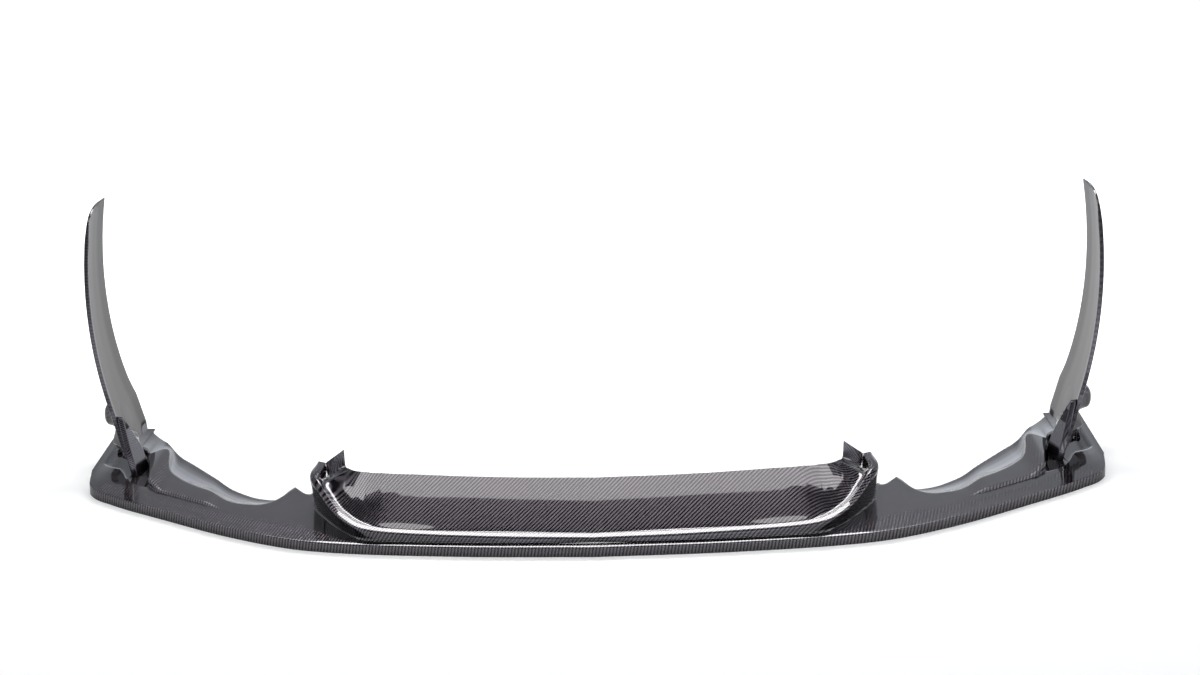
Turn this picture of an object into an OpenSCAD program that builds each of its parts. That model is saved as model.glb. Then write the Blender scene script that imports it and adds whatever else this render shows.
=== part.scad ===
// Front splitter lip: one carbon skin with a scooped centre tray, two side
// decks with air ducts, and a tall curved fin seated in a pocket at each end.
// Millimetres. X runs across the car, -Y points forward, Z is up.
// Inside the functions a place along the car is a setback: how far it lies
// behind the foremost point of the nose.

/* [Lip outline] */
// Overall width across the straight side edges
width = 1890; // [1780:10:2000]
// Setback of the rearmost edge
depth = 703; // [680:1:760]
// Half width of the flat middle stretch of the nose
chin_half = 480; // [440:5:520]
// How far the nose line has swept back there
chin_setback = 50; // [30:1:70]
// Setback of the outline where the outer corner starts to turn
corner_setback = 308; // [290:1:325]
// Setback where the straight side edge begins
side_setback = 452; // [430:1:480]
// Height of the outer edge above the ground
edge_height = 18; // [14:1:24]
// Thickness of the moulded skin
skin = 3; // [2:0.5:5]

/* [Side deck] */
// Rise of the lower deck from the outer edge to the step
deck_rise = 2; // [1:0.5:6]
// Width of the lower deck between the outer edge and the step
lower_deck = 72; // [50:1:90]
// Height of the step up to the plateau at its outer end
step_height = 13; // [6:1:24]
// Distance from the tray side to the pointed cusp of the rear edge
cusp_gap = 39; // [30:1:60]
// Setback of the cusp
cusp_setback = 330; // [310:1:350]
// Fall of each duct floor towards the rear
duct_fall = 13; // [4:1:14]
// Distance from the side edge to the rear tab
tab_inset = 72; // [60:1:90]
// How far the rear tab stands behind the rear edge beside it
tab_length = 25; // [10:1:40]

/* [Centre tray] */
// Half width of the tray over its rim
tray_half = 507; // [490:1:530]
// Width of the deck strip in front of the rim
front_strip = 25; // [18:1:30]
// Setback of the rear edge of the tray at the middle
tray_setback = 148; // [130:1:175]
// Height of that rear edge
tray_height = 91; // [70:1:115]
// Height of the rim at the middle of the nose
rim_front_height = 25; // [23:1:34]
// Height of the rim along the sides
rim_side_height = 84; // [66:1:100]
// Width of the flat top of the rim at its rear ends
rim_top = 14; // [8:1:20]
// Height of the two pointed horns
horn_height = 117; // [112:1:150]

/* [Fin seat] */
// Distance from the side edge to the middle of the fin foot
seat_inset = 77; // [70:1:84]
// Setback of the front of the fin foot
seat_setback = 442; // [430:1:460]
// Height of the pocket floor
pocket_floor = 8; // [5:0.5:12]

/* [Fins] */
// Height of the fin top above the ground
fin_top = 487; // [400:1:600]
// Width of the flat front of the foot
foot_front = 13; // [9:1:18]
// Height of the top of the foot
foot_top = 112; // [100:1:140]
// Chord of the blade at the top of the foot
root_chord = 178; // [160:1:190]
// Chord of the blade at the top
tip_chord = 121; // [90:1:140]
// How far the front edge leans back over the blade
fin_lean = 106; // [60:1:130]
// How far the blade bows outwards from its foot
fin_bow = 76; // [60:1:90]
// Thickness of the front bead of the blade
bead = 8; // [6:0.5:11]
// Thickness of the blade behind the bead
blade_wall = 4; // [3:0.5:6]
// Width of the bent flange along the rear edge
rear_flange = 43; // [30:1:55]
// How far the side lobe stands out from the blade
lobe_reach = 53; // [45:1:80]

/* [Hidden] */

half_width = width / 2;
middle = depth / 2;
seat_x = half_width - seat_inset;
cusp_x = tray_half + cusp_gap;
tab_x = half_width - tab_inset;
deck_height = edge_height + deck_rise;
// The outer deck and the deck behind the pocket, above the edge
outer_rise = 7;
rear_rise = 6;
// Rounding of the top of the outer edge
edge_round = 2;

carbon = [0.16, 0.15, 0.17];

// Smooth step from 0 to 1
function ease(t) = let (c = max(0, min(1, t))) c * c * (3 - 2 * c);
function mix(a, b, t) = a + (b - a) * t;
function clamp(v, low, high) = max(low, min(high, v));

// Smooth curve through points whose first value grows
function span_at(p, x, i = 0) =
    i >= len(p) - 2 || x < p[i + 1][0] ? i : span_at(p, x, i + 1);
function rise_at(p, i) =
    i == 0 ? (p[1][1] - p[0][1]) / (p[1][0] - p[0][0])
    : i == len(p) - 1 ? (p[i][1] - p[i - 1][1]) / (p[i][0] - p[i - 1][0])
    : (p[i + 1][1] - p[i - 1][1]) / (p[i + 1][0] - p[i - 1][0]);
function along(p, x) =
    let (
        i = span_at(p, x),
        h = p[i + 1][0] - p[i][0],
        t = (x - p[i][0]) / h,
        t2 = t * t,
        t3 = t2 * t
    )
    (2 * t3 - 3 * t2 + 1) * p[i][1] + (t3 - 2 * t2 + t) * h * rise_at(p, i)
    + (3 * t2 - 2 * t3) * p[i + 1][1] + (t3 - t2) * h * rise_at(p, i + 1);

// Triangles between rings of equal length, with both ends closed by fans
function loft_faces(rings, size) = concat(
    [for (r = [0:rings - 2], k = [0:size - 1])
        let (a = r * size + k, b = r * size + (k + 1) % size)
        [a, b, b + size]],
    [for (r = [0:rings - 2], k = [0:size - 1])
        let (a = r * size + k, b = r * size + (k + 1) % size)
        [a, b + size, a + size]]
);

// Ends of a ring made of a front row and the same row below it, as strips
function strip_end(first, size, flip) =
    [for (k = [0:size / 2 - 2])
        for (tri = [[k, k + 1, size - 2 - k], [k, size - 2 - k, size - 1 - k]])
            flip ? [first + tri[0], first + tri[2], first + tri[1]]
            : [first + tri[0], first + tri[1], first + tri[2]]];

module loft(rings) {
    size = len(rings[0]);
    count = len(rings);
    polyhedron(
        points = [for (ring = rings, p = ring) p],
        faces = concat(
            loft_faces(count, size),
            strip_end(0, size, true),
            strip_end((count - 1) * size, size, false)
        ),
        convexity = 8
    );
}

// Outline of the lip, as setbacks over the distance from the middle
nose_points = [
    [0, 0],
    [chin_half * 0.5, chin_setback * 0.27],
    [chin_half, chin_setback],
    [half_width - 325, mix(chin_setback, corner_setback, 0.26)],
    [half_width - 165, mix(chin_setback, corner_setback, 0.7)],
    [half_width - 65, corner_setback],
    [half_width - 15, mix(corner_setback, side_setback, 0.41)],
    [half_width, side_setback]
];
function nose(x) = along(nose_points, x);

// Foot of the rim around the tray
rim_points = [
    [0, front_strip],
    [tray_half - 349, front_strip + 3],
    [tray_half - 187, front_strip + 16],
    [tray_half - 116, front_strip + 29],
    [tray_half - 82, front_strip + 65],
    [tray_half - 58, front_strip + 102],
    [tray_half - 28, front_strip + 158],
    [tray_half - 10, front_strip + 205],
    [tray_half, cusp_setback - 36]
];
function rim_foot(x) = along(rim_points, x);

rear_points = [
    [tray_half, cusp_setback - 38],
    [tray_half + 15, cusp_setback - 37],
    [cusp_x, cusp_setback]
];
duct_rear_points = [
    [cusp_x, cusp_setback],
    [cusp_x + 27, cusp_setback - 30],
    [cusp_x + 50, cusp_setback - 29],
    [cusp_x + 81, cusp_setback - 11],
    [cusp_x + 135, cusp_setback + 47],
    [tab_x - 155, depth - 273],
    [tab_x - 111, depth - 208],
    [tab_x - 41, depth - 108],
    [tab_x, depth - tab_length]
];
function rear(x) =
    x <= tray_half - 0.5 ? rim_foot(x) + 4
    : x <= cusp_x ? along(rear_points, x)
    : x <= tab_x ? along(duct_rear_points, x)
    : depth;

// Crease along the front of the duct
crease_points = [
    [cusp_x, cusp_setback],
    [cusp_x + 17, cusp_setback - 48],
    [cusp_x + 30, cusp_setback - 73],
    [cusp_x + 50, cusp_setback - 90],
    [cusp_x + 70, cusp_setback - 89],
    [cusp_x + 105, cusp_setback - 74],
    [cusp_x + 145, cusp_setback - 30],
    [seat_x - 132, seat_setback - 100],
    [seat_x - 98, seat_setback - 57],
    [seat_x - 71, seat_setback - 2],
    [seat_x - 56, seat_setback + 84],
    [seat_x - 20, seat_setback + 76]
];

// Outer edge of the pocket, from its front tip backwards
pocket_points = [
    [seat_x - 70, nose(seat_x - 70) + lower_deck],
    [seat_x - 48, seat_setback - 98],
    [seat_x - 28, seat_setback - 80],
    [seat_x - 6, seat_setback - 57],
    [seat_x + 14, seat_setback - 10],
    [seat_x + 41, seat_setback + 78],
    [seat_x + 57, seat_setback + 150],
    [half_width, depth - 16]
];
// Inner and rear edge of the pocket
ridge_points = [
    [seat_x - 48, seat_setback - 86],
    [seat_x - 44, seat_setback - 60],
    [seat_x - 34, seat_setback],
    [seat_x - 20, seat_setback + 65],
    [seat_x - 8, seat_setback + 105],
    [seat_x + 30, seat_setback + 142],
    [seat_x + 57, seat_setback + 165],
    [half_width, depth - 10]
];

// Width of the step, wider where it meets the pocket
function step_run(x) = mix(4, 12, ease((x - seat_x + 75) / 27));
function step_line(x) =
    let (free = x <= seat_x - 70 ? nose(x) + lower_deck : along(pocket_points, x))
    min(free, mix(nose(x), rear(x), 0.36));
function ridge_line(x) =
    let (free = x <= seat_x - 48 ? step_line(x) + step_run(x) : along(ridge_points, x))
    max(min(free, mix(nose(x), rear(x), 0.985)), step_line(x) + min(step_run(x), (rear(x) - nose(x)) * 0.2));
function crease_line(x) =
    let (
        low = ridge_line(x) + (rear(x) - ridge_line(x)) * 0.1,
        high = rear(x) - (rear(x) - ridge_line(x)) * 0.05,
        free = x <= cusp_x ? high : x <= seat_x - 20 ? along(crease_points, x) : low
    )
    clamp(free, low, high);

// Heights of the skin
function side_fade(x) = ease((half_width - x) / 45);
// Share of the step's height that runs along the deck; the rest rises at the pocket
low_share = 0.38;
function plateau(x) =
    deck_height + step_height * mix(ease((x - seat_x + 85) / 40), ease((x - seat_x + 205) / 40), low_share);
function outer_deck(x) =
    edge_height + mix(0, mix(deck_rise, outer_rise, ease((x - seat_x + 40) / 60)), side_fade(x));
function pocket_depth(x) = ease((x - seat_x + 48) / 14) * ease((seat_x + 62 - x) / 20);
function pocket_height(x) = mix(outer_deck(x), pocket_floor, pocket_depth(x));
function inner_deck(x) =
    mix(edge_height, mix(plateau(x), edge_height + rear_rise, ease((x - seat_x + 56) / 66)), side_fade(x));
function rear_fall(x) =
    x <= cusp_x ? 0
    : mix(duct_fall * ease((x - cusp_x) / 34), 5, ease((x - seat_x + 66) / 30)) * side_fade(x);

// One section of the skin at a distance x from the middle: a row of
// [setback, height] on top, front to rear, and the same row underneath
function top_row(x) =
    let (
        f = nose(x),
        a = step_line(x),
        b = ridge_line(x),
        c = crease_line(x),
        r = rear(x),
        wall = min(2, (b - a) * 0.25),
        za = outer_deck(x),
        zp = pocket_height(x),
        zb = inner_deck(x),
        fall = rear_fall(x)
    )
    concat(
        [[f, 0], [f, edge_height - edge_round], [f + edge_round, edge_height]],
        [for (s = [0.35, 0.7, 1]) [mix(f + edge_round, a, s), mix(edge_height, za, s)]],
        [for (s = [0, 0.5, 1]) [mix(a + wall, b - wall, s), zp]],
        [for (s = [0, 0.35, 0.7, 1]) [mix(b, c, s), zb]],
        [for (s = [0.15, 0.35, 0.6, 0.8, 1]) [mix(c, r, s), zb - fall * (1 - (1 - s) * (1 - s))]]
    );

// The front flange is the skin turned down to the ground
function flange_run(x) =
    let (slope = (nose(min(x + 1, half_width)) - nose(max(x - 1, 0))) / 2)
    min(skin * sqrt(1 + slope * slope), (rear(x) - nose(x)) * 0.25);
function under_row(x) =
    let (
        row = top_row(x),
        inside = nose(x) + flange_run(x),
        solid = x > half_width - skin
    )
    [for (i = [0:len(row) - 1])
        let (p = row[i])
        i == 0 ? [p[0] + flange_run(x), 0]
        : solid ? [max(p[0], inside + i * 0.01), 0]
        : [max(p[0], inside + i * 0.01), min(p[1], i <= 2 ? edge_height : p[1]) - skin]];

function lip_ring(x) =
    let (
        d = abs(x),
        top = top_row(d),
        under = under_row(d),
        n = len(top)
    )
    concat(
        [for (p = top) [x, p[0] - middle, p[1]]],
        [for (i = [0:n - 1]) [x, under[n - 1 - i][0] - middle, under[n - 1 - i][1]]]
    );

// Distances of the sections from the middle, closer where the shape turns
stations = concat(
    [for (s = [0:7]) mix(0, tray_half - 116, s / 8)],
    [for (s = [0:6]) mix(tray_half - 116, tray_half - 1, s / 7)],
    [for (s = [0:3]) mix(tray_half - 1, cusp_x, s / 4)],
    [for (s = [0:5]) mix(cusp_x, cusp_x + 105, s / 6)],
    [for (s = [0:5]) mix(cusp_x + 105, seat_x - 60, s / 6)],
    [for (s = [0:7]) mix(seat_x - 60, tab_x, s / 8)],
    [tab_x],
    [for (s = [0:9]) mix(tab_x + 1, half_width - 6, s / 9)],
    [half_width - skin - 0.2, half_width - skin + 0.2, half_width]
);

module skin_shell() {
    sides = concat(
        [for (i = [len(stations) - 1:-1:1]) -stations[i]],
        stations
    );
    loft([for (x = sides) lip_ring(x)]);
}

// Tray: a rim that climbs from the nose to the sides, and a scooped floor
// that rises to the rear edge and ends in a horn on each side
tray_rear_points = [
    [0, tray_setback],
    [tray_half - 342, tray_setback + 4],
    [tray_half - 198, tray_setback + 11],
    [tray_half - 139, tray_setback + 16],
    [tray_half - 111, tray_setback + 27],
    [tray_half - 90, tray_setback + 44],
    [tray_half - 75.5, tray_setback + 67],
    [tray_half - 67, tray_setback + 88],
    [tray_half - 64, tray_setback + 102]
];
// For each point of the rim: how far its height has grown from the front
// height to the side height, and how far the rear edge has grown to the horn
rim_growth = [0, 0.06, 0.13, 0.22, 0.34, 0.52, 0.88, 0.97, 1];
horn_growth = [0, 0.1, 0.3, 0.38, 0.32, 0.19, 0.07, 0.02, 1];
floor_drop = [0, 0, 0, 0, 0, 0, 3, 12, 0];
// How far the top of the rim leans in over the tray, or out over the deck
rim_lean = [0, 0, 0, -2, -8, -11, -11, -6, 13];
last = len(rim_points) - 1;

// Value of a list between its entries
function blend_list(v, u) =
    let (pairs = [for (i = [0:len(v) - 1]) [i, v[i]]]) along(pairs, u);
function blend_points(p, u) = [
    blend_list([for (q = p) q[0]], u),
    blend_list([for (q = p) q[1]], u)
];

// One section of the tray from the foot of the rim to its rear edge
function tray_ring(u) =
    let (
        side = u < 0 ? -1 : 1,
        v = abs(u),
        foot = blend_points(rim_points, v),
        back = blend_points(tray_rear_points, v),
        run = norm(back - foot),
        along_dir = (back - foot) / run,
        crest = mix(rim_front_height, rim_side_height, blend_list(rim_growth, v)),
        edge = mix(tray_height, horn_height, blend_list(horn_growth, v)),
        flat = mix(3, rim_top, ease((crest - 30) / (rim_side_height - 30))),
        drop = blend_list(floor_drop, v),
        lean = blend_list(rim_lean, v),
        start = lean + flat + 10,
        profile = concat(
            [[0, edge_height - skin], [lean, crest - 4], [lean + 1, crest - 1], [lean + 3, crest]],
            [[lean + 3 + flat, crest], [lean + 5 + flat, crest - 1 - drop * 0.4]],
            [for (s = [0:5])
                let (t = s / 5)
                [mix(start, run, t), mix(crest - drop, edge, pow(t, 1.08))]]
        ),
        n = len(profile),
        lower = [for (i = [0:n - 1])
            let (p = profile[i])
            i < 4 ? [p[0] + skin, min(p[1], crest - skin) - (i == 0 ? 0 : 1)]
            : [max(p[0], lean + skin + 3), p[1] - skin * 1.15]]
    )
    concat(
        [for (p = profile)
            let (q = foot + along_dir * p[0])
            [side * q[0], q[1] - middle, p[1]]],
        [for (i = [0:n - 1])
            let (p = lower[n - 1 - i], q = foot + along_dir * p[0])
            [side * q[0], q[1] - middle, p[1]]]
    );

module tray() {
    steps = 40;
    loft([for (i = [-steps:steps]) tray_ring(last * i / steps)]);
}

module lip() {
    color(carbon) {
        skin_shell();
        tray();
    }
}

// Fin, drawn for the right-hand side. The middle of the blade bows outwards
// and the front edge leans back as it climbs.
blade_foot = 44;
// The foot stands this far inside the middle of its pocket
foot_shift = 6.5;
function fin_share(z) = clamp((z - pocket_floor) / (fin_top - pocket_floor), 0, 1);
function fin_x(z) =
    let (t = fin_share(z))
    seat_x - foot_shift + (fin_bow + foot_shift) * (2.5 * t - 1.55 * t * t);
function fin_front(z) =
    let (t = fin_share(z)) seat_setback + 27 * ease(t * 4) + fin_lean * t * t;
function fin_chord(z) =
    mix(root_chord, tip_chord, pow(clamp((z - foot_top) / (fin_top - foot_top), 0, 1), 0.6))
    + 10 * (1 - ease((z - blade_foot) / 110));

// A level section of the blade: bead, slim wall and bent rear flange
function blade_ring(z, cut_front, cut_rear) =
    let (
        x = fin_x(z),
        f = fin_front(z) + cut_front,
        r = fin_front(z) + fin_chord(z) - cut_rear,
        b = min(bead, (r - f) * 0.2) / 2,
        w = blade_wall / 2,
        bend = max(r - rear_flange, f + (r - f) * 0.4)
    )
    [
        [x + b, f - middle, z],
        [x + w + 1, mix(f, bend, 0.3) - middle, z],
        [x + w + 1, mix(f, bend, 0.7) - middle, z],
        [x + w, bend - middle, z],
        [x + w + 3, r - middle, z],
        [x - w + 3, r - middle, z],
        [x - w, bend - middle, z],
        [x - w + 1, mix(f, bend, 0.7) - middle, z],
        [x - w + 1, mix(f, bend, 0.3) - middle, z],
        [x - b, f - middle, z]
    ];

top_round = 28;
module blade() {
    body = [for (i = [22:-1:0]) mix(blade_foot, fin_top - top_round, i / 22)];
    loft(concat(
        [for (a = [90:-15:15])
            blade_ring(fin_top - top_round * (1 - sin(a)), pow(1 - cos(a), 1.3) * tip_chord * 0.5, 0)],
        [for (z = body)
            blade_ring(z, 0, 10 * (1 - ease((z - blade_foot) / 12)))]
    ));
}

// The foot: a flat narrow front that drifts inwards from the blade as it climbs,
// and sides that spread to a knuckle
foot_drift = 11;
knuckle_out = 36;
knuckle_in = 16;
base_in = 19;
function foot_x(z) =
    fin_x(z) - foot_drift * pow(clamp((z - pocket_floor) / (foot_top - pocket_floor), 0, 1), 0.7);
module corner(x, setback, z) {
    translate([x, setback - middle, z]) cube(0.4, center = true);
}

module foot() {
    base = pocket_floor + 0.2;
    knuckle = pocket_floor + 44;
    back = seat_setback + 112;
    top_y = fin_front(foot_top);
    for (side = [-1, 1])
        hull() {
            for (edge = [0, side * (foot_front / 2 - 0.2)]) {
                corner(foot_x(base) + edge, seat_setback + 0.2, base);
                corner(foot_x(foot_top) + edge, top_y - 1, foot_top);
                corner(fin_x(foot_top) + edge * 0.5, top_y + 16, foot_top);
                corner(fin_x(base + 22) + edge, back - 14, base + 22);
            }
            corner(foot_x(knuckle + side * 7) + (side > 0 ? knuckle_out : -knuckle_in),
                seat_setback + 58, knuckle + side * 7);
            corner(fin_x(knuckle) + side * 9, back, knuckle + 6);
            corner(foot_x(base) + (side > 0 ? foot_front / 2 - 0.2 : -base_in), seat_setback + 48, base);
        }
}

// A ball of the lobe at a height, a given way out from the blade there
module ball(out, setback, z, r) {
    translate([fin_x(z) + out, setback - middle, z]) sphere(r = r, $fn = 20);
}

// The lobe: a round tip, and a root that runs into the blade before and behind it
lobe_tip = 12;
lobe_crown = 9;
root_ball = 4;
root_front = 68;
root_back = 34;
root_rise = 20;
lobe_drop = 28;
lobe_back = 150;
module lobe() {
    lobe_z = foot_top - lobe_drop;
    lobe_y = seat_setback + lobe_back;
    hull() {
        ball(lobe_reach - lobe_tip, lobe_y, lobe_z - lobe_tip * 0.7, lobe_tip);
        ball(lobe_reach * 0.62, lobe_y, lobe_z + lobe_tip, lobe_crown);
        for (rise = [-root_rise, root_rise]) {
            ball(0, lobe_y - root_front, lobe_z + rise * 0.8, root_ball);
            ball(0, lobe_y + root_back, lobe_z + rise, root_ball);
        }
    }
}

module fin() {
    color(carbon) {
        blade();
        foot();
        lobe();
    }
}

module right_fin() {
    fin();
}

module left_fin() {
    mirror([1, 0, 0]) fin();
}

lip();
left_fin();
right_fin();
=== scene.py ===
"""Looks of a front splitter lip: clear-coated twill skin, scooped tray and two fins.

Every surface is worked out with numpy on a grid, in millimetres: X across the
car, and a setback for each place, which is how far it lies behind the nose.
"""
import math

import bpy
import numpy as np
from bpy.props import FloatProperty, FloatVectorProperty, PointerProperty
from mathutils import Matrix, Vector


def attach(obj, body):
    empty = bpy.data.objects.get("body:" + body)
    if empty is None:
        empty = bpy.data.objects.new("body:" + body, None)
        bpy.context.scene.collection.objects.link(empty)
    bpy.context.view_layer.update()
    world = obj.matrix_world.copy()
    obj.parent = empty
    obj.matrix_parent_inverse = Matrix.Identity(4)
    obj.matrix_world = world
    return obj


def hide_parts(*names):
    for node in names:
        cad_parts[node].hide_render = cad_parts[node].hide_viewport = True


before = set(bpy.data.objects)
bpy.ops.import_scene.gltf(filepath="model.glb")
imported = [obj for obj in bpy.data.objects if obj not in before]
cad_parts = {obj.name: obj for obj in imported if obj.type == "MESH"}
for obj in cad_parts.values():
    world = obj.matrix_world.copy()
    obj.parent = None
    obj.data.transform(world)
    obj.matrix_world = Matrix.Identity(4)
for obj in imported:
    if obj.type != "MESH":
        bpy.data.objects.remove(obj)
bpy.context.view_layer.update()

bl_info = {
    "name": "Front splitter lip",
    "version": (1, 0, 0),
    "blender": (4, 5, 0),
    "location": "View3D > Sidebar > Splitter",
    "description": "Builds a glossy twill splitter lip with a tray and two fins",
    "category": "Object",
}

MM = 0.001


def length(name, description, default):
    """A size in millimetres, kept in metres as Blender's length unit."""
    return FloatProperty(name=name, description=description, default=default * MM, unit="LENGTH")


class SplitterSizes(bpy.types.PropertyGroup):
    """Sizes of the lip and its fins."""

    half_width: length("Half width", "From the middle to the side edge", 945)
    depth: length("Depth", "From the nose to the rearmost edge", 703)
    edge_height: length("Edge height", "Height of the outer edge above the ground", 18)
    skin: length("Skin", "Thickness of the moulded skin", 3)
    deck_rise: length("Deck rise", "Rise of the lower deck towards the step", 2)
    lower_deck: length("Lower deck", "Width of the deck in front of the step", 72)
    step_height: length("Step height", "Height of the step at the pocket", 13)
    duct_fall: length("Duct fall", "Fall of the duct floor towards the rear", 13)
    cusp_setback: length("Cusp setback", "Setback of the pointed cusp", 330)
    tray_half: length("Tray half width", "Half width over the rim of the tray", 507)
    front_strip: length("Front strip", "Width of the deck in front of the rim", 25)
    tray_setback: length("Tray setback", "Setback of the tray's rear edge", 148)
    tray_height: length("Tray height", "Height of the tray's rear edge", 91)
    rim_front_height: length("Rim height, front", "Height of the rim at the nose", 25)
    rim_side_height: length("Rim height, side", "Height of the rim along the sides", 84)
    rim_top: length("Rim top", "Width of the flat top of the rim", 14)
    horn_height: length("Horn height", "Height of the pointed horns", 117)
    seat_inset: length("Seat inset", "From the side edge to the fin's foot", 77)
    seat_setback: length("Seat setback", "Setback of the front of the fin's foot", 442)
    pocket_floor: length("Pocket floor", "Height of the pocket's floor", 8)
    fin_top: length("Fin top", "Height of the fins", 487)
    foot_top: length("Foot top", "Height of the top of the foot", 112)
    foot_front: length("Foot front", "Width of the flat front of the foot", 13)
    root_chord: length("Root chord", "Chord of the blade above the foot", 178)
    tip_chord: length("Tip chord", "Chord of the blade at its top", 121)
    fin_lean: length("Fin lean", "How far the front edge leans back", 106)
    fin_bow: length("Fin bow", "How far the blade bows outwards", 76)
    bead: length("Bead", "Thickness of the blade's front bead", 8)
    blade_wall: length("Blade wall", "Thickness of the blade", 4)
    rear_flange: length("Rear flange", "Width of the bent rear flange", 43)
    lobe_reach: length("Lobe reach", "How far the side lobe stands out", 53)


class SplitterFinish(bpy.types.PropertyGroup):
    """Weave, with painted light and shade on its tows, and clear coat."""

    tow: length("Tow width", "Width of one tow of the cloth", 2)
    # Bright warp and dark weft colours are painted light and shade: the tows are of one colour, and
    # one set catches the light while the other does not.
    lit_warp_colour: FloatVectorProperty(
        name="Warp colour", description="Reflection colour of the warp tows",
        default=(0.14, 0.125, 0.14), size=3, subtype="COLOR", min=0, max=1)
    shaded_weft_colour: FloatVectorProperty(
        name="Weft colour", description="Reflection colour of the weft tows",
        default=(0.01, 0.009, 0.012), size=3, subtype="COLOR", min=0, max=1)
    deck_angle: FloatProperty(
        name="Deck cloth angle", description="Turn of the twill lines on the decks from straight back",
        default=math.radians(10.5), subtype="ANGLE")
    tray_angle: FloatProperty(
        name="Tray cloth angle", description="Turn of the twill lines in the tray from straight back",
        default=math.radians(38.5), subtype="ANGLE")
    floor_colour: FloatVectorProperty(
        name="Floor colour", description="Colour of the studio floor",
        default=(0.76, 0.76, 0.76), size=3, subtype="COLOR", min=0, max=1)


def in_mm(group):
    """All length sizes of a property group, in millimetres, by name."""
    return {k: getattr(group, k) / MM for k in group.__annotations__}


def ease(t):
    """Smooth step from 0 to 1: 3t^2 - 2t^3."""
    c = np.clip(t, 0.0, 1.0)
    return c * c * (3 - 2 * c)


def mix(a, b, t):
    """Straight blend from a to b."""
    return a + (b - a) * t


def along(points, x):
    """Smooth curve through points [x, value]: cubic Hermite, with the slope at a
    point equal to the slope between its neighbours."""
    p = np.asarray(points, float)
    px, py = p[:, 0], p[:, 1]
    rise = np.gradient(py) / np.gradient(px)
    x = np.asarray(x, float)
    i = np.clip(np.searchsorted(px, x, side="right") - 1, 0, len(px) - 2)
    h = px[i + 1] - px[i]
    t = (x - px[i]) / h
    t2, t3 = t * t, t * t * t
    return ((2 * t3 - 3 * t2 + 1) * py[i] + (t3 - 2 * t2 + t) * h * rise[i]
            + (3 * t2 - 2 * t3) * py[i + 1] + (t3 - t2) * h * rise[i + 1])


def subdivided(keys, counts):
    """Rows of key points (rows, keys, d) with each span k cut into counts[k] equal parts."""
    parts = []
    for k, n in enumerate(counts):
        t = (np.arange(n) / n)[None, :, None]
        parts.append(mix(keys[:, k:k + 1], keys[:, k + 1:k + 2], t))
    parts.append(keys[:, -1:])
    return np.concatenate(parts, 1)


def softened(rows, times):
    """Rows of points rounded by averaging each with its neighbours (1/4, 1/2, 1/4); ends stay."""
    for _ in range(times):
        rows = rows.copy()
        rows[:, 1:-1] = 0.25 * rows[:, :-2] + 0.5 * rows[:, 1:-1] + 0.25 * rows[:, 2:]
    return rows


def run_length(rows):
    """Length along each row of points, from its first point."""
    step = np.linalg.norm(np.diff(rows, axis=1), axis=2)
    return np.concatenate([np.zeros((len(rows), 1)), np.cumsum(step, 1)], 1)


def key_rows(keys):
    """Rows of key points (rows, keys, 2) from a list of pairs of columns or numbers."""
    return np.stack([np.stack(np.broadcast_arrays(*pair), -1) for pair in keys], 1)


def there_and_back(out, back):
    """Columns of one grid, followed by the columns of another with the last first."""
    return np.concatenate([out, back[:, ::-1]], 1)


def closed(grid):
    """A grid with its first column repeated at the end."""
    return np.concatenate([grid, grid[:, :1]], 1)


def placed(s, x, setback, height):
    """Points (rings, n, 3) in millimetres on the shared axes, Y from the middle of the depth."""
    return np.stack(np.broadcast_arrays(x, setback - s["depth"] / 2, height), -1)


def cloth(x, y, angle, tow):
    """Cloth coordinates in tows: two axes at 45 degrees on either side of the
    twill line, which is turned by angle from the +y direction towards +x."""
    a, b = angle + math.pi / 4, angle - math.pi / 4
    u = (x * math.sin(a) + y * math.cos(a)) / tow
    v = (x * math.sin(b) + y * math.cos(b)) / tow
    return np.stack([u, v], -1)


def shell(name, points, uv, material, sharp=50.0):
    """A closed shell from rings of points (rings, n, 3) in millimetres. Ring point k
    pairs with point n-1-k, so a strip of faces closes each end. uv holds one more
    column than points, for the face that closes each ring."""
    rings, n = points.shape[:2]
    r, c = np.meshgrid(np.arange(rings - 1), np.arange(n), indexing="ij")
    a, b = r * n + c, r * n + (c + 1) % n
    quads = np.stack([a, b, b + n, a + n], -1).reshape(-1, 4)
    quad_uv = np.stack([uv[:-1, :-1], uv[:-1, 1:], uv[1:, 1:], uv[1:, :-1]], 2).reshape(-1, 4, 2)
    k = np.arange(n // 2 - 1)
    cap = np.stack([k, n - 1 - k, n - 2 - k, k + 1], -1)
    back = cap[:, ::-1]
    faces = np.concatenate([quads, cap, back + (rings - 1) * n])
    face_uv = np.concatenate([quad_uv, uv[0][cap], uv[-1][back]])
    flat = points.reshape(-1, 3)
    q = flat[faces]
    volume = np.einsum("ij,ij->i", np.cross(q[:, 1] - q[:, 0], q[:, 2] - q[:, 0]), q[:, 0]).sum()
    volume += np.einsum("ij,ij->i", np.cross(q[:, 2] - q[:, 0], q[:, 3] - q[:, 0]), q[:, 0]).sum()
    if volume < 0:
        faces, face_uv = faces[:, ::-1], face_uv[:, ::-1]
    mesh = bpy.data.meshes.new(name)
    mesh.from_pydata((flat * MM).tolist(), [], faces.tolist())
    layer = mesh.uv_layers.new(name="cloth")
    layer.data.foreach_set("uv", np.ascontiguousarray(face_uv, dtype=np.float32).ravel())
    mesh.shade_smooth()
    mesh.set_sharp_from_angle(angle=math.radians(sharp))
    mesh.materials.append(material)
    piece = bpy.data.objects.new(name, mesh)
    bpy.context.scene.collection.objects.link(piece)
    return piece


def seated(piece, node):
    """The piece rides on the root body and stands for its CAD node, which it hides."""
    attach(piece, "root")
    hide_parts(node)


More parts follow.
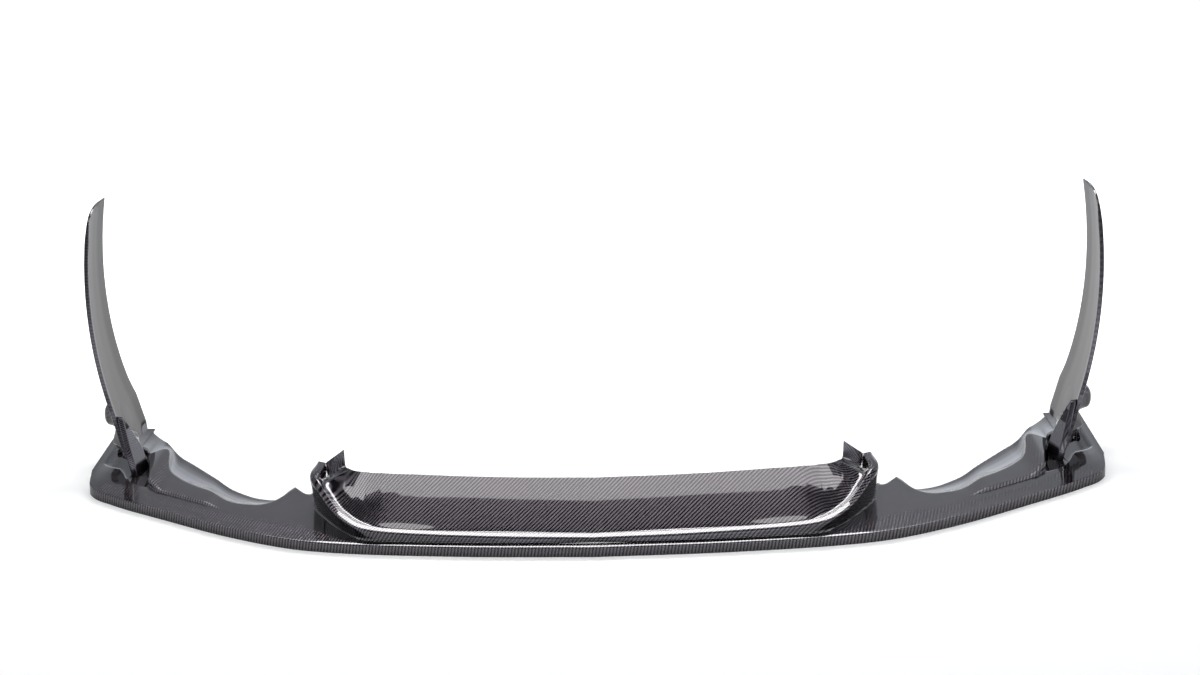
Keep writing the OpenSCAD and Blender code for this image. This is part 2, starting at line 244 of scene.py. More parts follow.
def outlines(s):
    """Key points of the lip's plan curves, [distance from the middle, setback], as in
    the solids, and the distances of the cusp, the rear tab and the fin's seat."""
    w, t, cs = s["half_width"], s["tray_half"], s["cusp_setback"]
    chin, corner, side = 50.0, 308.0, 452.0
    cusp, strip, seat, ss = t + 39, s["front_strip"], w - s["seat_inset"], s["seat_setback"]
    tab, deep = w - 72, s["depth"]
    nose = [[0, 0], [240, chin * 0.27], [480, chin], [w - 325, mix(chin, corner, 0.26)],
            [w - 165, mix(chin, corner, 0.7)], [w - 65, corner],
            [w - 15, mix(corner, side, 0.41)], [w, side]]
    rim = [[0, strip], [t - 349, strip + 3], [t - 187, strip + 16], [t - 116, strip + 29],
           [t - 82, strip + 65], [t - 58, strip + 102], [t - 28, strip + 158],
           [t - 10, strip + 205], [t, cs - 36]]
    cove = [[t, cs - 38], [t + 15, cs - 37], [cusp, cs]]
    duct_rear = [[cusp, cs], [cusp + 27, cs - 30], [cusp + 50, cs - 29], [cusp + 81, cs - 11],
                 [cusp + 135, cs + 47], [tab - 155, deep - 273], [tab - 111, deep - 208],
                 [tab - 41, deep - 108], [tab, deep - 25]]
    crease = [[cusp, cs], [cusp + 17, cs - 48], [cusp + 30, cs - 73], [cusp + 50, cs - 90],
              [cusp + 70, cs - 89], [cusp + 105, cs - 74], [cusp + 145, cs - 30],
              [seat - 132, ss - 100], [seat - 98, ss - 57], [seat - 71, ss - 2],
              [seat - 56, ss + 84], [seat - 20, ss + 76]]
    pocket = [[seat - 70, float(along(nose, seat - 70)) + s["lower_deck"]], [seat - 48, ss - 98],
              [seat - 28, ss - 80], [seat - 6, ss - 57], [seat + 14, ss - 10],
              [seat + 41, ss + 78], [seat + 57, ss + 150], [w, deep - 16]]
    ridge = [[seat - 48, ss - 86], [seat - 44, ss - 60], [seat - 34, ss], [seat - 20, ss + 65],
             [seat - 8, ss + 105], [seat + 30, ss + 142], [seat + 57, ss + 165], [w, deep - 10]]
    return {"nose": nose, "rim": rim, "cove": cove, "duct_rear": duct_rear, "crease": crease,
            "pocket": pocket, "ridge": ridge, "cusp": cusp, "tab": tab, "seat": seat}


def deck_level(s, x):
    """Height of the deck next to the tray, a little lower along the front strip."""
    return s["edge_height"] + s["deck_rise"] * ease((x - s["tray_half"] + 107) / 150)


# Furthest place of the step's foot as a share of the way back, height of the plateau
# before its last rise to the pocket as a share of the step, and the parts that the
# spans between the skin's key points are cut into
FRONT_SHARE = 0.36
PLATEAU_SHARE = 0.38
SKIN_COUNTS = [5, 3, 6, 8, 8, 8, 4, 4, 4, 4, 8, 8, 8, 6, 6, 6, 5, 4]


def skin_keys(s, o, x):
    """Key points of the upper side of the skin at distances x from the middle: rows
    of [setback, height] from the front's foot over the step to the rear edge. f and r
    are the front and rear edges, a and b the step's foot and top, c the duct's crease;
    za, zp and zb are the heights of the deck, the pocket and the plateau."""
    w, seat, cusp, tab = s["half_width"], o["seat"], o["cusp"], o["tab"]
    f = along(o["nose"], x)
    rim = along(o["rim"], np.minimum(x, s["tray_half"]))
    r = np.where(x <= s["tray_half"] - 0.5, rim + 4, np.where(
        x <= cusp, along(o["cove"], x), np.where(
            x <= tab, along(o["duct_rear"], x), s["depth"])))
    step_free = np.where(x <= seat - 70, f + s["lower_deck"], along(o["pocket"], x))
    a = np.minimum(step_free, mix(f, r, FRONT_SHARE))
    run = mix(4, 12, ease((x - seat + 75) / 27))
    ridge_free = np.where(x <= seat - 48, a + run, along(o["ridge"], x))
    b = np.maximum(np.minimum(ridge_free, mix(f, r, 0.985)), a + np.minimum(run, (r - f) * 0.2))
    low, high = b + (r - b) * 0.1, r - (r - b) * 0.05
    c_free = np.where(x <= cusp, high, np.where(x <= seat - 20, along(o["crease"], x), low))
    c = np.clip(c_free, low, high)
    fade = ease((w - x) / 45)
    eh, deck = s["edge_height"], deck_level(s, x)
    za = mix(eh, mix(deck, eh + 4, ease((x - seat + 60) / 110)), fade)
    dip = ease((x - seat + 48) / 14) * ease((seat + 62 - x) / 20)
    zp = mix(za, s["pocket_floor"], dip)
    climb = mix(ease((x - seat + 85) / 40), ease((x - seat + 205) / 40), PLATEAU_SHARE)
    plateau = deck + s["step_height"] * climb
    zb = mix(eh, mix(plateau, eh + 6, ease((x - seat + 56) / 66)), fade)
    fall = np.where(x <= cusp, 0, mix(
        s["duct_fall"] * ease((x - cusp) / 34), 5, ease((x - seat + 66) / 30)) * fade)
    wall = np.minimum(2, (b - a) * 0.25)
    roll = np.minimum(7, (a - f) * 0.6)
    slant = roll * mix(0.18, 0.03, ease((x - 430) / 90))
    share = np.clip((a - f) / s["lower_deck"], 1, None)
    keys = [(f, 0), (f, eh - 1.6 - slant), (f + roll * 0.2, eh - 0.1 - slant),
            (f + roll, eh - 0.1)]
    keys += [(mix(f + roll, a, t), mix(eh, za, ease(t * share))) for t in (0.35, 0.7, 1)]
    keys += [(mix(a + wall, b - wall, t), zp) for t in (0, 0.5, 1)]
    keys += [(mix(b, c, t), zb) for t in (0, 0.35, 0.7, 1)]
    keys += [(mix(c, r, t), zb - fall * (1 - (1 - t) ** 2)) for t in (0.15, 0.35, 0.6, 0.8, 1)]
    return key_rows(keys), f, r


def station_list(s, o):
    """Distances from the middle of the skin's sections, closest where the shape turns."""
    t, cusp, seat, tab, w = s["tray_half"], o["cusp"], o["seat"], o["tab"], s["half_width"]
    spans = [(0, t - 116, 26), (t - 116, t - 1, 22), (t - 1, cusp, 10), (cusp, cusp + 105, 24),
             (cusp + 105, seat - 60, 26), (seat - 60, tab - 0.6, 26), (tab - 0.4, tab + 0.4, 2),
             (tab + 0.6, w - s["skin"] - 0.4, 20)]
    parts = [np.linspace(a, b, n, endpoint=False) for a, b, n in spans]
    return np.concatenate(parts + [[w - s["skin"] - 0.2, w - s["skin"] + 0.2, w - 1, w]])


class SPLITTER_OT_skin(bpy.types.Operator):
    """Front strip and both side decks with their steps, pockets and ducts"""

    bl_idname = "splitter.build_skin"
    bl_label = "Build the skin"

    def execute(self, context):
        """Builds sections over X: the upper rows from skin_keys, cut fine and
        rounded, and the same rows one skin lower, joined into rings. The lower
        rows start behind the front flange, each a hair behind the last."""
        s = in_mm(context.scene.splitter_sizes)
        finish = context.scene.splitter_finish
        o = outlines(s)
        half = station_list(s, o)
        x = np.concatenate([-half[:0:-1], half])
        d = np.abs(x)
        keys, f, r = skin_keys(s, o, d)
        top = softened(subdivided(keys, SKIN_COUNTS), 2)
        slope = (along(o["nose"], np.minimum(d + 1, s["half_width"]))
                 - along(o["nose"], np.maximum(d - 1, 0))) / 2
        flange = np.minimum(s["skin"] * np.sqrt(1 + slope ** 2), (r - f) * 0.25)
        hair = 0.01
        inside = (f + flange)[:, None] + np.arange(top.shape[1]) * hair
        solid = (d > s["half_width"] - s["skin"])[:, None]
        low = np.empty_like(top)
        low[..., 0] = np.maximum(top[..., 0], inside)
        low[..., 1] = np.where(solid, 0, np.maximum(top[..., 1] - s["skin"], 0))
        low[:, 0, 0], low[:, 0, 1] = f + flange, 0
        rows = there_and_back(top, low)
        points = placed(s, x[:, None], rows[..., 0], rows[..., 1])
        sheet = run_length(top) + f[:, None]
        sheet = closed(there_and_back(sheet, sheet))
        uv = cloth(x[:, None], sheet, finish.deck_angle, finish.tow / MM)
        seated(shell("lip_skin", points, uv, carbon(finish)), "lip")
        return {"FINISHED"}


# Values at the nine key points of the tray's rim, from the nose to the horn: the
# growths and the floor's bend as shares, the slope in degrees, the rest in millimetres
RIM_GROWTH = [0, 0.06, 0.13, 0.22, 0.34, 0.52, 0.88, 0.97, 1]
HORN_GROWTH = [0, 0.1, 0.3, 0.38, 0.32, 0.19, 0.07, 0.02, 1]
FLOOR_DROP = [0, 0, 0, 0, 0, 0, 3, 12, 0]
RIM_LEAN = [0, 0, 0, -2, -8, -11, -11, -6, 13]
SHOULDER_SLOPE = [12, 12, 12, 12, 13, 15, 20, 22, 20]
SHOULDER_WIDTH = [13, 12, 11, 11, 10, 9, 8, 5, 1]
TOP_WIDTH = [0.5, 0.5, 0.5, 0.5, 0.5, 0.5, 1, 12, 14]
SCOOP = [0.12, 0.12, 0.12, 0.15, 0.2, 0.3, 0.3, 0.3, 0]

# Parts that the spans of the rim's section are cut into, the row where its wall starts,
# and the rows of the floor
RIM_COUNTS = [4, 8, 3, 3, 10, 3, 3]
WALL_ROW = sum(RIM_COUNTS[:2])
FLOOR_ROWS = 33


def tray_rows(s, o, u):
    """Sections of the tray at places u along the rim (0 at the nose, whole numbers
    at the rim's key points): the rim's foot, the way to the rear edge in plan, and
    rows of [distance from the foot, height] for the soft foot, the wall, the bright
    shoulder, the flat top, the drop behind it and the scooped floor. Near the rear
    corners the floor hangs lower, most at a knee knee_back before its rear edge. The
    rows are rounded, but stay crisp at the horns."""
    t, ts = s["tray_half"], s["tray_setback"]
    back_keys = np.array([
        [0, ts], [t - 342, ts + 4], [t - 198, ts + 11], [t - 139, ts + 16],
        [t - 111, ts + 27], [t - 90, ts + 44], [t - 75.5, ts + 67], [t - 67, ts + 88],
        [t - 64, ts + 102]], float)
    foot_keys = np.array(o["rim"], float)
    index = np.arange(len(foot_keys))
    v = np.abs(u)

    def at(values):
        """Smooth value of a list along the rim."""
        return along(np.stack([index, values], -1), v)

    foot = np.stack([at(foot_keys[:, 0]), at(foot_keys[:, 1])], -1)
    back = np.stack([at(back_keys[:, 0]), at(back_keys[:, 1])], -1)
    run = np.linalg.norm(back - foot, axis=1)
    way = (back - foot) / run[:, None]
    slope, wide = np.radians(at(SHOULDER_SLOPE)), np.maximum(1, at(SHOULDER_WIDTH))
    flat = np.maximum(0.5, at(TOP_WIDTH)) * s["rim_top"] / 14
    lift = wide * np.sin(slope)
    top = mix(s["rim_front_height"], s["rim_side_height"], at(RIM_GROWTH))
    top = top + lift * (1 - ease((v - 2.5) / 3))
    crest = top - lift
    edge = mix(s["tray_height"], s["horn_height"], at(HORN_GROWTH))
    drop, lean = at(FLOOR_DROP), at(RIM_LEAN)
    deck = deck_level(s, foot[:, 0])
    inner = lean + 2.5 + wide * np.cos(slope)
    start = inner + flat + 2 + drop * 0.6
    keys = [(-6.5, deck - 0.2), (-1, deck + 1.1), (lean, crest - 4), (lean + 0.8, crest - 1),
            (lean + 2.5, crest), (inner, top), (inner + flat, top),
            (inner + flat + 1.5, top - 0.5 - drop * 0.4)]
    keys = subdivided(key_rows(keys), RIM_COUNTS)
    share = np.linspace(0, 1, FLOOR_ROWS)[None, :]
    out = mix(start[:, None], run[:, None], share)
    setback = foot[:, 1:] + way[:, 1:] * out
    rear = np.interp(foot[:, :1] + way[:, :1] * out, back_keys[:, 0], back_keys[:, 1])
    full = s["tray_height"] - s["rim_front_height"] - 2.5
    place = 1 - (rear - setback) / (ts - s["front_strip"] - 18)
    ramp = edge[:, None] - full * (1 - 0.88 * place - 0.12 * place ** 2)
    low = (top - drop)[:, None]
    fillet = mix(6, 24, ease((v - 2.5) / 2.5)) * (1 - 0.85 * ease((v - 6.2) / 0.5))
    joined = ease((out - start[:, None]) / fillet[:, None])
    bend = at(SCOOP)[:, None]
    straight = mix(low, edge[:, None], share * (1 - bend) + share ** 2 * bend)
    floor = mix(low, mix(ramp, straight, ease((v[:, None] - 2.6) / 2.6)), joined)
    knee_depth, knee_back, least = 8, 40, 0.01
    near = np.maximum((run[:, None] - out) / knee_back, least)
    far = np.maximum((out - start[:, None]) / (run - start - knee_back)[:, None], least)
    knee = knee_depth * ease((v - 2.2) / 1.3) * (1 - ease((v - 5.3) / 1.2))
    floor = floor - knee[:, None] * (near ** -6 + far ** -6) ** (-1 / 6)
    rows = np.concatenate([keys, np.stack([out, floor], -1)], 1)
    crisp = ease((v - 6.2) / 0.5)[:, None, None]
    return foot, way, mix(softened(rows, 2), rows, crisp)


class SPLITTER_OT_tray(bpy.types.Operator):
    """Rim and scooped floor of the centre tray, ending in a horn on each side"""

    bl_idname = "splitter.build_tray"
    bl_label = "Build the tray"

    def execute(self, context):
        """Joins the sections of tray_rows, and the same rows one skin lower, into
        rings. The first two rows go down into the deck's skin instead."""
        s = in_mm(context.scene.splitter_sizes)
        finish = context.scene.splitter_finish
        last, steps = len(RIM_GROWTH) - 1, 40
        u = np.linspace(-last, last, last * steps + 1)
        side = np.where(u < 0, -1.0, 1.0)[:, None]
        foot, way, top = tray_rows(s, outlines(s), u)
        wall = top[:, WALL_ROW, 0]
        low = top.copy()
        low[..., 0] = np.maximum(top[..., 0], (wall + s["skin"])[:, None])
        low[..., 1] = top[..., 1] - s["skin"] * 1.15
        low[:, :2, 0] = top[:, :2, 0]
        low[:, :2, 1] = s["edge_height"] - s["skin"]
        rows = there_and_back(top, low)
        plan = foot[:, None] + way[:, None] * rows[..., :1]
        points = placed(s, side * plan[..., 0], plan[..., 1], rows[..., 1])
        laid = run_length(top)
        laid = there_and_back(laid, laid)[..., None]
        sheet = closed(foot[:, None] + way[:, None] * laid)
        uv = cloth(side * sheet[..., 0], sheet[..., 1], finish.tray_angle, finish.tow / MM)
        seated(shell("lip_tray", points, uv, carbon(finish)), "lip")
        return {"FINISHED"}


# How far the fin's foot stands in from its seat, and how much further in it goes
# on its way up, in millimetres
FOOT_SHIFT = 6.5
FOOT_DRIFT = 11.0

# How far the painted lit and shaded tow colours come together on the tightly curved fins
FIN_EVEN = 0.75


def fin_place(s, z):
    """Middle of the blade across the car, its front setback and its chord at height z."""
    t = np.clip((z - s["pocket_floor"]) / (s["fin_top"] - s["pocket_floor"]), 0, 1)
    x = (s["half_width"] - s["seat_inset"] - FOOT_SHIFT
         + (s["fin_bow"] + FOOT_SHIFT) * (2.5 * t - 1.55 * t * t))
    front = s["seat_setback"] + 27 * ease(t * 4) + s["fin_lean"] * t * t
    grown = np.clip((z - s["foot_top"]) / (s["fin_top"] - s["foot_top"]), 0, 1) ** 0.6
    chord = mix(s["root_chord"], s["tip_chord"], grown) + 10 * (1 - ease((z - 44) / 110))
    return x, front, chord


def blade_points(s):
    """Level rings of the blade, from its rounded top down: front to rear outside and
    back inside. Its cloth runs along the chord and up."""
    top_round, foot_z, heel = 28.0, 44.0, 12
    arc_rings, wall_rings = 12, 72
    a = np.radians(np.linspace(90, 4, arc_rings))
    z = np.concatenate([s["fin_top"] - top_round * (1 - np.sin(a)),
                        np.linspace(s["fin_top"] - top_round, foot_z, wall_rings)])
    cut_front = np.concatenate([(1 - np.cos(a)) ** 1.3 * s["tip_chord"] * 0.5,
                                np.zeros(wall_rings)])
    cut_rear = np.where(z > foot_z + heel, 0, 10 * (1 - ease((z - foot_z) / heel)))
    x, front, chord = fin_place(s, z)
    f, r = front + cut_front, front + chord - cut_rear
    narrow = 1 - 0.5 * ease((z - s["fin_top"] + 60) / 50)
    bead, wall = np.minimum(s["bead"] * narrow, (r - f) * 0.2) / 2, s["blade_wall"] / 2
    bend = np.maximum(r - s["rear_flange"], f + (r - f) * 0.4)
    rows = []
    for side in (1, -1):
        b, w = side * bead, side * wall
        keys = [(x + b - side, f), (x + b, f + 1), (x + b, f + 5), (x + w + 1, f + 12),
                (x + w + 1, mix(f + 12, bend, 0.5)), (x + w, bend), (x + w - 3, r - 1),
                (x + w - 3 - side, r)]
        rows.append(softened(subdivided(key_rows(keys), [2, 2, 3, 6, 6, 8, 2]), 1))
    ring = there_and_back(*rows)
    rise = z[:, None]
    return placed(s, ring[..., 0], ring[..., 1], rise), closed(ring[..., 1]), rise


def foot_points(s):
    """Level rings of the faceted foot: a flat narrow front, a knuckle on each side
    and a blunt rear that follows the blade. Widths grow to each knuckle's height and
    shrink above it, and the top ring is drawn in a little more. Its cloth runs round
    the ring and up."""
    top, floor, drawn_in = s["foot_top"], s["pocket_floor"], 0.92
    z = np.array([floor, 26, 45, 59, 86, top - 2, top], float)
    blade, front, _ = fin_place(s, z)
    x = blade - FOOT_DRIFT * ((z - floor) / (top - floor)) ** 0.7
    g = np.interp(z, [floor, top], [s["foot_front"] / 2, s["foot_front"] * 0.4])
    outer = np.interp(z, [floor, 59, top], [g[0], 36, g[-1]])
    inner = np.interp(z, [floor, 47, top], [19, 16, g[-1]])
    knuckle = front + np.interp(z, [floor, 50, top], [46, 46, 10])
    back = front + np.interp(z, [floor, 30, 58, top], [48, 90, 96, 16])
    rear = np.interp(z, [floor, 30, 58, top], [g[0], 8, 9, 3])
    corner = 1.5
    ring = key_rows([(x + g - corner, front), (x + g, front + corner), (x + outer, knuckle),
                     (blade + rear + 3, back), (blade - rear, back), (x - inner, knuckle),
                     (x - g, front + corner), (x - g + corner, front)])
    ring[-1] = mix(ring[-1].mean(0), ring[-1], drawn_in)
    rise = z[:, None]
    points = placed(s, ring[..., 0], ring[..., 1], rise)
    return points, run_length(closed(points)), rise


def lobe_points(s):
    """Rings of the side lobe from the blade outwards: rounded sections that shrink
    and sink towards a blunt tip. Its cloth runs round the ring and outwards. tip_span
    is a hair over the tip's share of the reach, so the last ring keeps a small width."""
    body, tip_span = 0.82, 0.1801
    tip_arc = np.radians(np.linspace(8, 90, 10))
    t = np.concatenate([np.linspace(0, body, 14), body + (1 - body) * np.sin(tip_arc)])
    close = np.sqrt(np.clip(1 - ((t - body).clip(0) / tip_span) ** 2, 0, 1))
    middle = s["foot_top"] - 28
    inside = float(fin_place(s, np.array([middle]))[0][0]) - 1
    reach = s["lobe_reach"] + 1
    half_y = mix(56, 22, ease(t * 1.05)) * close + 0.2
    half_z = mix(33, 19, ease(t)) * close + 0.2
    mid_y = s["seat_setback"] + mix(134, 150, t)
    mid_z = middle + mix(8, 2, t)
    n, squareness = 40, 0.8
    a = np.linspace(0, 2 * np.pi, n, endpoint=False) + np.pi / n
    round_y, round_z = (np.sign(c) * np.abs(c) ** squareness for c in (np.cos(a), np.sin(a)))
    high = mid_z[:, None] + half_z[:, None] * round_z
    root, share = fin_place(s, high)[0] - 1, t[:, None]
    points = placed(s, mix(root, inside, share) + reach * share,
                    mid_y[:, None] + half_y[:, None] * round_y, high)
    return points, run_length(closed(points)), reach * share


class SPLITTER_OT_fins(bpy.types.Operator):
    """Both fins: a curved blade, a faceted foot and a side lobe each"""

    bl_idname = "splitter.build_fins"
    bl_label = "Build the fins"

    def execute(self, context):
        """Builds the right-hand pieces and the same points mirrored for the left."""
        s = in_mm(context.scene.splitter_sizes)
        finish = context.scene.splitter_finish
        for side, word in ((1, "right"), (-1, "left")):
            for part, made in (("blade", blade_points(s)), ("foot", foot_points(s)),
                               ("lobe", lobe_points(s))):
                points, across, up = made
                uv = cloth(side * across, up, math.radians(45), finish.tow / MM)
                sharp = 22.0 if part == "foot" else 40.0
                piece = shell(word + "_" + part, points * np.array([side, 1, 1]), uv,
                              carbon(finish, FIN_EVEN), sharp)
                if part == "foot":
                    self.dress_foot(piece, points.shape, carbon(finish))
                seated(piece, word + "_fin")
        return {"FINISHED"}

    def dress_foot(self, piece, shape, front_strip_full_tow_shade):
        """Gives the flat front strip, the face that closes each ring, the carbon with the
        full painted light and shade on its tows, and softens the foot's edges."""
        rings, columns = shape[:2]
        index = np.zeros(len(piece.data.polygons), np.int32)
        index[columns - 1:(rings - 1) * columns:columns] = 1
        piece.data.materials.append(front_strip_full_tow_shade)
        piece.data.polygons.foreach_set("material_index", index)
        bevel = piece.modifiers.new("edges", "BEVEL")
        bevel.width = 1.2 * MM
        bevel.segments = 2
        bevel.limit_method = "ANGLE"
        bevel.angle_limit = math.radians(12)
        bevel.harden_normals = False


class Wiring:
    """Short calls to add and join the nodes of one material or world."""

    def __init__(self, tree):
        self.tree = tree
        tree.nodes.clear()

    def add(self, kind, **values):
        """A new node with its properties set by name."""
        node = self.tree.nodes.new(kind)
        for key, value in values.items():
            setattr(node, key, value)
        return node

    def feed(self, node, inputs):
        """Links an output to each named or numbered input, or sets a plain value."""
        for socket, value in inputs.items():
            if isinstance(value, bpy.types.NodeSocket):
                self.tree.links.new(value, node.inputs[socket])
            else:
                node.inputs[socket].default_value = value
        return node

    def math(self, operation, a, b=0.0):
        """Output of a Math node."""
        node = self.add("ShaderNodeMath", operation=operation)
        return self.feed(node, {0: a, 1: b}).outputs[0]

    def pick(self, share, a, b):
        """share x a + (1 - share) x b."""
        rest = self.math("SUBTRACT", 1.0, share)
        return self.math("ADD", self.math("MULTIPLY", share, a), self.math("MULTIPLY", rest, b))

    def ramp(self, value, low, high, start, end):
        """Smooth step of a value between two limits, from one level to another."""
        node = self.add("ShaderNodeMapRange", interpolation_type="SMOOTHSTEP")
        return self.feed(node, {0: value, 1: low, 2: high, 3: start, 4: end}).outputs[0]

    def blend(self, factor, a, b, kind="MIX"):
        """Output of a colour mix from a to b."""
        node = self.add("ShaderNodeMix", data_type="RGBA", blend_type=kind)
        return self.feed(node, {0: factor, 6: a, 7: b}).outputs[2]

    def split(self, vector):
        """X, Y and Z of a vector."""
        return self.feed(self.add("ShaderNodeSeparateXYZ"), {0: vector}).outputs

    def output(self, kind, shader):
        """Joins a shader node to the output node."""
        self.feed(self.add(kind), {0: shader.outputs[0]})


def carbon(finish, even=0.0):
    """Clear-coated 2x2 twill. The cloth map counts tows: a cell shows its warp tow
    where (floor(u) - floor(v)) mod 4 is under 2, and its weft tow elsewhere. The
    warp tows take a bright colour and the weft tows a dark one: painted light and
    shade, for tows of one colour of which one set catches the light. Each float is
    crowned across, domed along and streaked lengthwise; its colour darkens towards
    its edges as painted shade of the crown, and its streaks are its own grain. Warp
    and weft spread their reflections a quarter turn apart. even moves both painted
    tow colours towards their mean, from 0 for not at all to 1 for one colour."""
    name = "TwillCarbonEven" if even else "TwillCarbon"
    old = bpy.data.materials.get(name)
    if old:
        return old
    material = bpy.data.materials.new(name)
    material.use_nodes = True
    w = Wiring(material.node_tree)
    u, v, _ = w.split(w.add("ShaderNodeUVMap", uv_map="cloth").outputs[0])
    fu, fv = w.math("FLOOR", u), w.math("FLOOR", v)
    order = w.math("FLOORED_MODULO", w.math("SUBTRACT", fu, fv), 4.0)
    warp = w.math("LESS_THAN", order, 2.0)
    across_warp = w.math("SUBTRACT", w.math("SUBTRACT", v, fv), 0.5)
    across_weft = w.math("SUBTRACT", w.math("SUBTRACT", u, fu), 0.5)
    across = w.pick(warp, across_warp, across_weft)
    crown = w.math("SUBTRACT", 1.0, w.math("MULTIPLY", w.math("MULTIPLY", across, across), 4.0))
    float_warp = w.math("FLOORED_MODULO", w.math("SUBTRACT", u, fv), 4.0)
    float_weft = w.math("SUBTRACT", w.math("FLOORED_MODULO", w.math("SUBTRACT", v, fu), 4.0), 1.0)
    place = w.pick(warp, float_warp, float_weft)
    dome = w.math("SINE", w.math("MULTIPLY", place, math.pi / 2))
    height = w.math("ADD", w.math("MULTIPLY", crown, 0.5), w.math("MULTIPLY", dome, 0.5))
    along_tow, across_tow = 0.5, 9.0
    fibre_at = w.feed(w.add("ShaderNodeCombineXYZ"), {
        0: w.math("MULTIPLY", u, w.pick(warp, along_tow, across_tow)),
        1: w.math("MULTIPLY", v, w.pick(warp, across_tow, along_tow))})
    fibre = w.feed(w.add("ShaderNodeTexNoise", noise_dimensions="2D"), {
        "Vector": fibre_at.outputs[0], "Scale": 1.0, "Detail": 2.0})
    # Tow colour: the fibre streaks are grain, and the crown term darkens each tow towards its edges as
    # painted shade.
    grain_and_crown_shade = w.math("ADD", w.math("MULTIPLY", fibre.outputs[0], 0.5),
                   w.math("ADD", 0.45, w.math("MULTIPLY", crown, 0.3)))
    grey = w.feed(w.add("ShaderNodeCombineColor"), {0: grain_and_crown_shade, 1: grain_and_crown_shade, 2: grain_and_crown_shade})
    # Painted light and shade: the lit warp colour and the shaded weft colour, evened by even.
    lit_warp_colour, shaded_weft_colour = np.array(finish.lit_warp_colour), np.array(finish.shaded_weft_colour)
    mean = (lit_warp_colour + shaded_weft_colour) / 2
    tows = w.blend(warp, (*mix(shaded_weft_colour, mean, even), 1), (*mix(lit_warp_colour, mean, even), 1))
    relief = w.feed(w.add("ShaderNodeBump"), {
        "Strength": 0.08, "Distance": 0.0003, "Height": height})
    run = w.add("ShaderNodeTangent", direction_type="UV_MAP", uv_map="cloth")
    skin = w.feed(w.add("ShaderNodeBsdfPrincipled"), {
        "Base Color": w.blend(1.0, tows, grey.outputs[0], "MULTIPLY"),
        "Metallic": 1.0,
        "Roughness": 0.29,
        "Anisotropic": 0.5,
        "Anisotropic Rotation": w.math("MULTIPLY", warp, 0.25),
        "Tangent": run.outputs[0],
        "Normal": relief.outputs[0],
        "Specular Tint": (0.0, 0.0, 0.0, 1),
        "Coat Weight": 1.0,
        "Coat Roughness": 0.025,
        "Coat IOR": 1.5,
    })
    w.output("ShaderNodeOutputMaterial", skin)
    return material


def studio_floor(finish):
    """Pale floor: a plain diffuse that keeps shadows, lifted for the camera, and
    more so with the distance behind and before the piece until it is white."""
    material = bpy.data.materials.new("StudioFloor")
    material.use_nodes = True
    w = Wiring(material.node_tree)
    plain = w.feed(w.add("ShaderNodeBsdfDiffuse"), {"Color": (*finish.floor_colour, 1)})
    setback = w.split(w.add("ShaderNodeTexCoord").outputs["Object"])[1]
    behind = w.ramp(setback, -0.2, 1.4, 0.3, 1.0)
    before = w.ramp(w.math("MULTIPLY", setback, -1.0), 1.0, 2.6, 0.0, 0.7)
    seen = w.add("ShaderNodeLightPath").outputs["Is Camera Ray"]
    lift = w.feed(w.add("ShaderNodeEmission"), {
        "Color": (1, 1, 1, 1),
        "Strength": w.math("MULTIPLY", seen, w.math("ADD", behind, before))})
    both = w.feed(w.add("ShaderNodeAddShader"), {0: plain.outputs[0], 1: lift.outputs[0]})
    w.output("ShaderNodeOutputMaterial", both)
    return material


def studio_world():
    """Surroundings by direction: a bright backdrop low at the rear with a dim wall
    above it, a bright low room in front that darkens upwards, and a dark ceiling, all
    brighter towards +X; plain white for the camera."""
    world = bpy.data.worlds.new("Studio")
    bpy.context.scene.world = world
    world.use_nodes = True
    w = Wiring(world.node_tree)
    aside, back, up = w.split(w.add("ShaderNodeTexCoord").outputs["Generated"])
    rear = w.ramp(back, -0.2, 0.3, 0.0, 1.0)
    wall = w.ramp(up, 0.12, 0.32, 0.95, 0.42)
    room = w.ramp(up, 0.12, 0.36, 1.25, 0.22)
    level = w.math("MULTIPLY", w.pick(rear, wall, room), w.ramp(up, 0.5, 0.62, 1.0, 0.15))
    level = w.math("MULTIPLY", level, w.ramp(aside, -0.22, 0.22, 1.1, 1.6))
    seen = w.add("ShaderNodeLightPath").outputs["Is Camera Ray"]
    w.output("ShaderNodeOutputWorld", w.feed(w.add("ShaderNodeBackground"), {
        "Color": w.blend(seen, (0.88, 0.92, 1.0, 1), (1, 1, 1, 1)),
        "Strength": w.pick(seen, 1.0, level)}))


# Softboxes: name, place, point aimed at, width and height in metres, radiance
SOFTBOXES = [
    ("overhead_box", (0, -0.215, 2.6), (0, -0.215, 0), 5.4, 0.57, 4.1),
    ("right_box", (3.16, 0.55, 2.6), (3.16, 0.55, 0), 1.28, 1.1, 4.1),
    ("left_box", (-3.16, 0.55, 2.6), (-3.16, 0.55, 0), 1.28, 1.1, 4.1),
    ("rear_strip", (0, 2.02, 2.21), (0, -0.32, 0.03), 3.0, 0.78, 10.0),
]


def softbox(name, place, aim, wide, tall, radiance):
    """A rectangular area light of a given radiance: power = radiance x pi x area."""
    light = bpy.data.lights.new(name, "AREA")
    light.shape = "RECTANGLE"
    light.size, light.size_y = wide, tall
    light.energy = radiance * math.pi * wide * tall
    lamp = bpy.data.objects.new(name, light)
    bpy.context.scene.collection.objects.link(lamp)
    lamp.location = place
    lamp.rotation_euler = (Vector(aim) - Vector(place)).to_track_quat("-Z", "Y").to_euler()


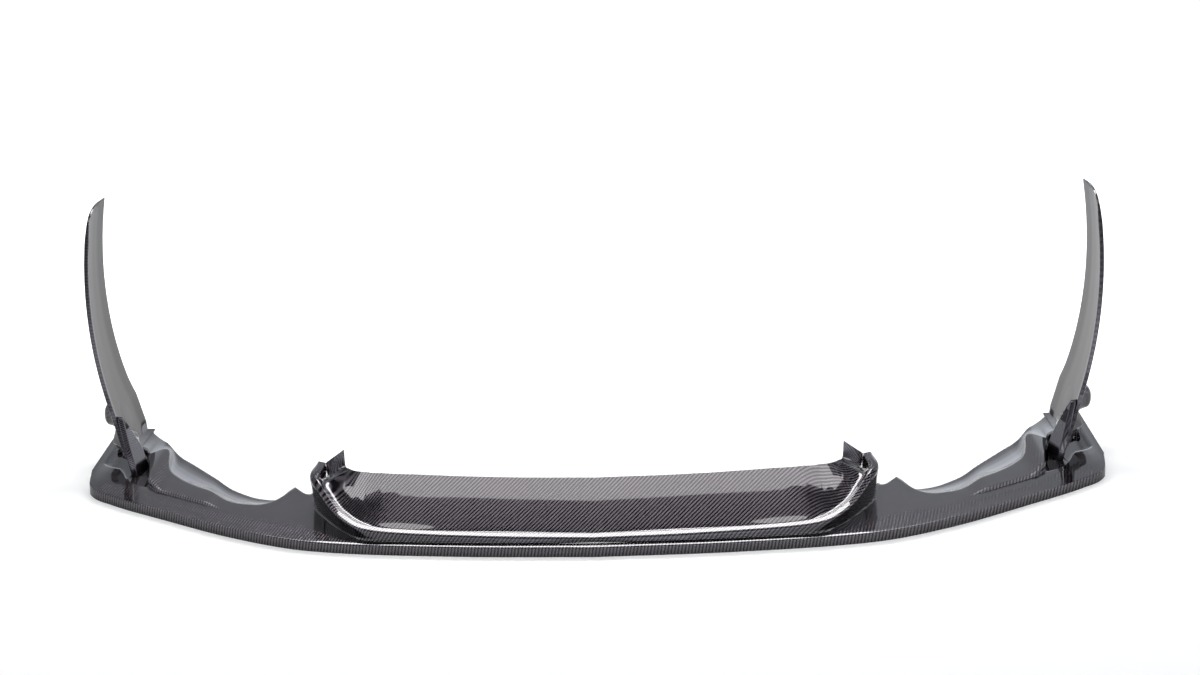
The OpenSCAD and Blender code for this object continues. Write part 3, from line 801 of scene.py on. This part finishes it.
def photograph_view(yaw, pitch, roll, place):
    """The camera at a place in metres, looking along +Y, turned by yaw to the left,
    pitch downwards and roll about its own axis, all in degrees."""
    data = bpy.data.cameras.new("view")
    data.sensor_width = 36.0
    data.lens = 71.1
    data.clip_end = 200.0
    camera = bpy.data.objects.new("view", data)
    bpy.context.scene.collection.objects.link(camera)
    yaw, pitch, roll = math.radians(yaw), math.radians(pitch), math.radians(roll)
    ahead = Vector((-math.sin(yaw) * math.cos(pitch), math.cos(yaw) * math.cos(pitch),
                    -math.sin(pitch)))
    right = Vector((math.cos(yaw), math.sin(yaw), 0))
    up = right.cross(ahead)
    right, up = (right * math.cos(roll) + up * math.sin(roll),
                 up * math.cos(roll) - right * math.sin(roll))
    turn = Matrix((right, up, -ahead)).transposed().to_4x4()
    camera.matrix_world = Matrix.Translation(place) @ turn
    return camera


class SPLITTER_OT_stage(bpy.types.Operator):
    """Floor, surroundings, softboxes and the camera"""

    bl_idname = "splitter.build_stage"
    bl_label = "Build the stage"

    def execute(self, context):
        """Places the floor at the ground, the lights and the photograph's view."""
        mesh = bpy.data.meshes.new("floor")
        half = 40.0
        corners = [(-half, -half, 0), (half, -half, 0), (half, half, 0), (-half, half, 0)]
        mesh.from_pydata(corners, [], [(0, 1, 2, 3)])
        mesh.materials.append(studio_floor(context.scene.splitter_finish))
        floor = bpy.data.objects.new("floor", mesh)
        context.scene.collection.objects.link(floor)
        studio_world()
        for box in SOFTBOXES:
            softbox(*box)
        context.scene.camera = photograph_view(1.0, 15.5, -1.33, (0.086, -4.0985, 1.423))
        context.scene.view_settings.view_transform = "Standard"
        return {"FINISHED"}


class SPLITTER_PT_panel(bpy.types.Panel):
    """Lists the pieces that can be built"""

    bl_idname = "SPLITTER_PT_panel"
    bl_label = "Splitter lip"
    bl_space_type = "VIEW_3D"
    bl_region_type = "UI"
    bl_category = "Splitter"

    def draw(self, context):
        """One button for each operator, then every size and finish."""
        column = self.layout.column(align=True)
        for operator in OPERATORS:
            column.operator(operator.bl_idname)
        for group in (context.scene.splitter_sizes, context.scene.splitter_finish):
            box = self.layout.box()
            for name in group.__annotations__:
                box.prop(group, name)


OPERATORS = (SPLITTER_OT_skin, SPLITTER_OT_tray, SPLITTER_OT_fins, SPLITTER_OT_stage)
CLASSES = (SplitterSizes, SplitterFinish, *OPERATORS, SPLITTER_PT_panel)


def register():
    """Registers the classes and the two groups of settings."""
    for item in CLASSES:
        bpy.utils.register_class(item)
    bpy.types.Scene.splitter_sizes = PointerProperty(type=SplitterSizes)
    bpy.types.Scene.splitter_finish = PointerProperty(type=SplitterFinish)


def unregister():
    """Removes what register added."""
    del bpy.types.Scene.splitter_finish
    del bpy.types.Scene.splitter_sizes
    for item in reversed(CLASSES):
        bpy.utils.unregister_class(item)


def main():
    register()
    bpy.ops.splitter.build_skin()
    bpy.ops.splitter.build_tray()
    bpy.ops.splitter.build_fins()
    bpy.ops.splitter.build_stage()


if __name__ == "__main__":
    main()
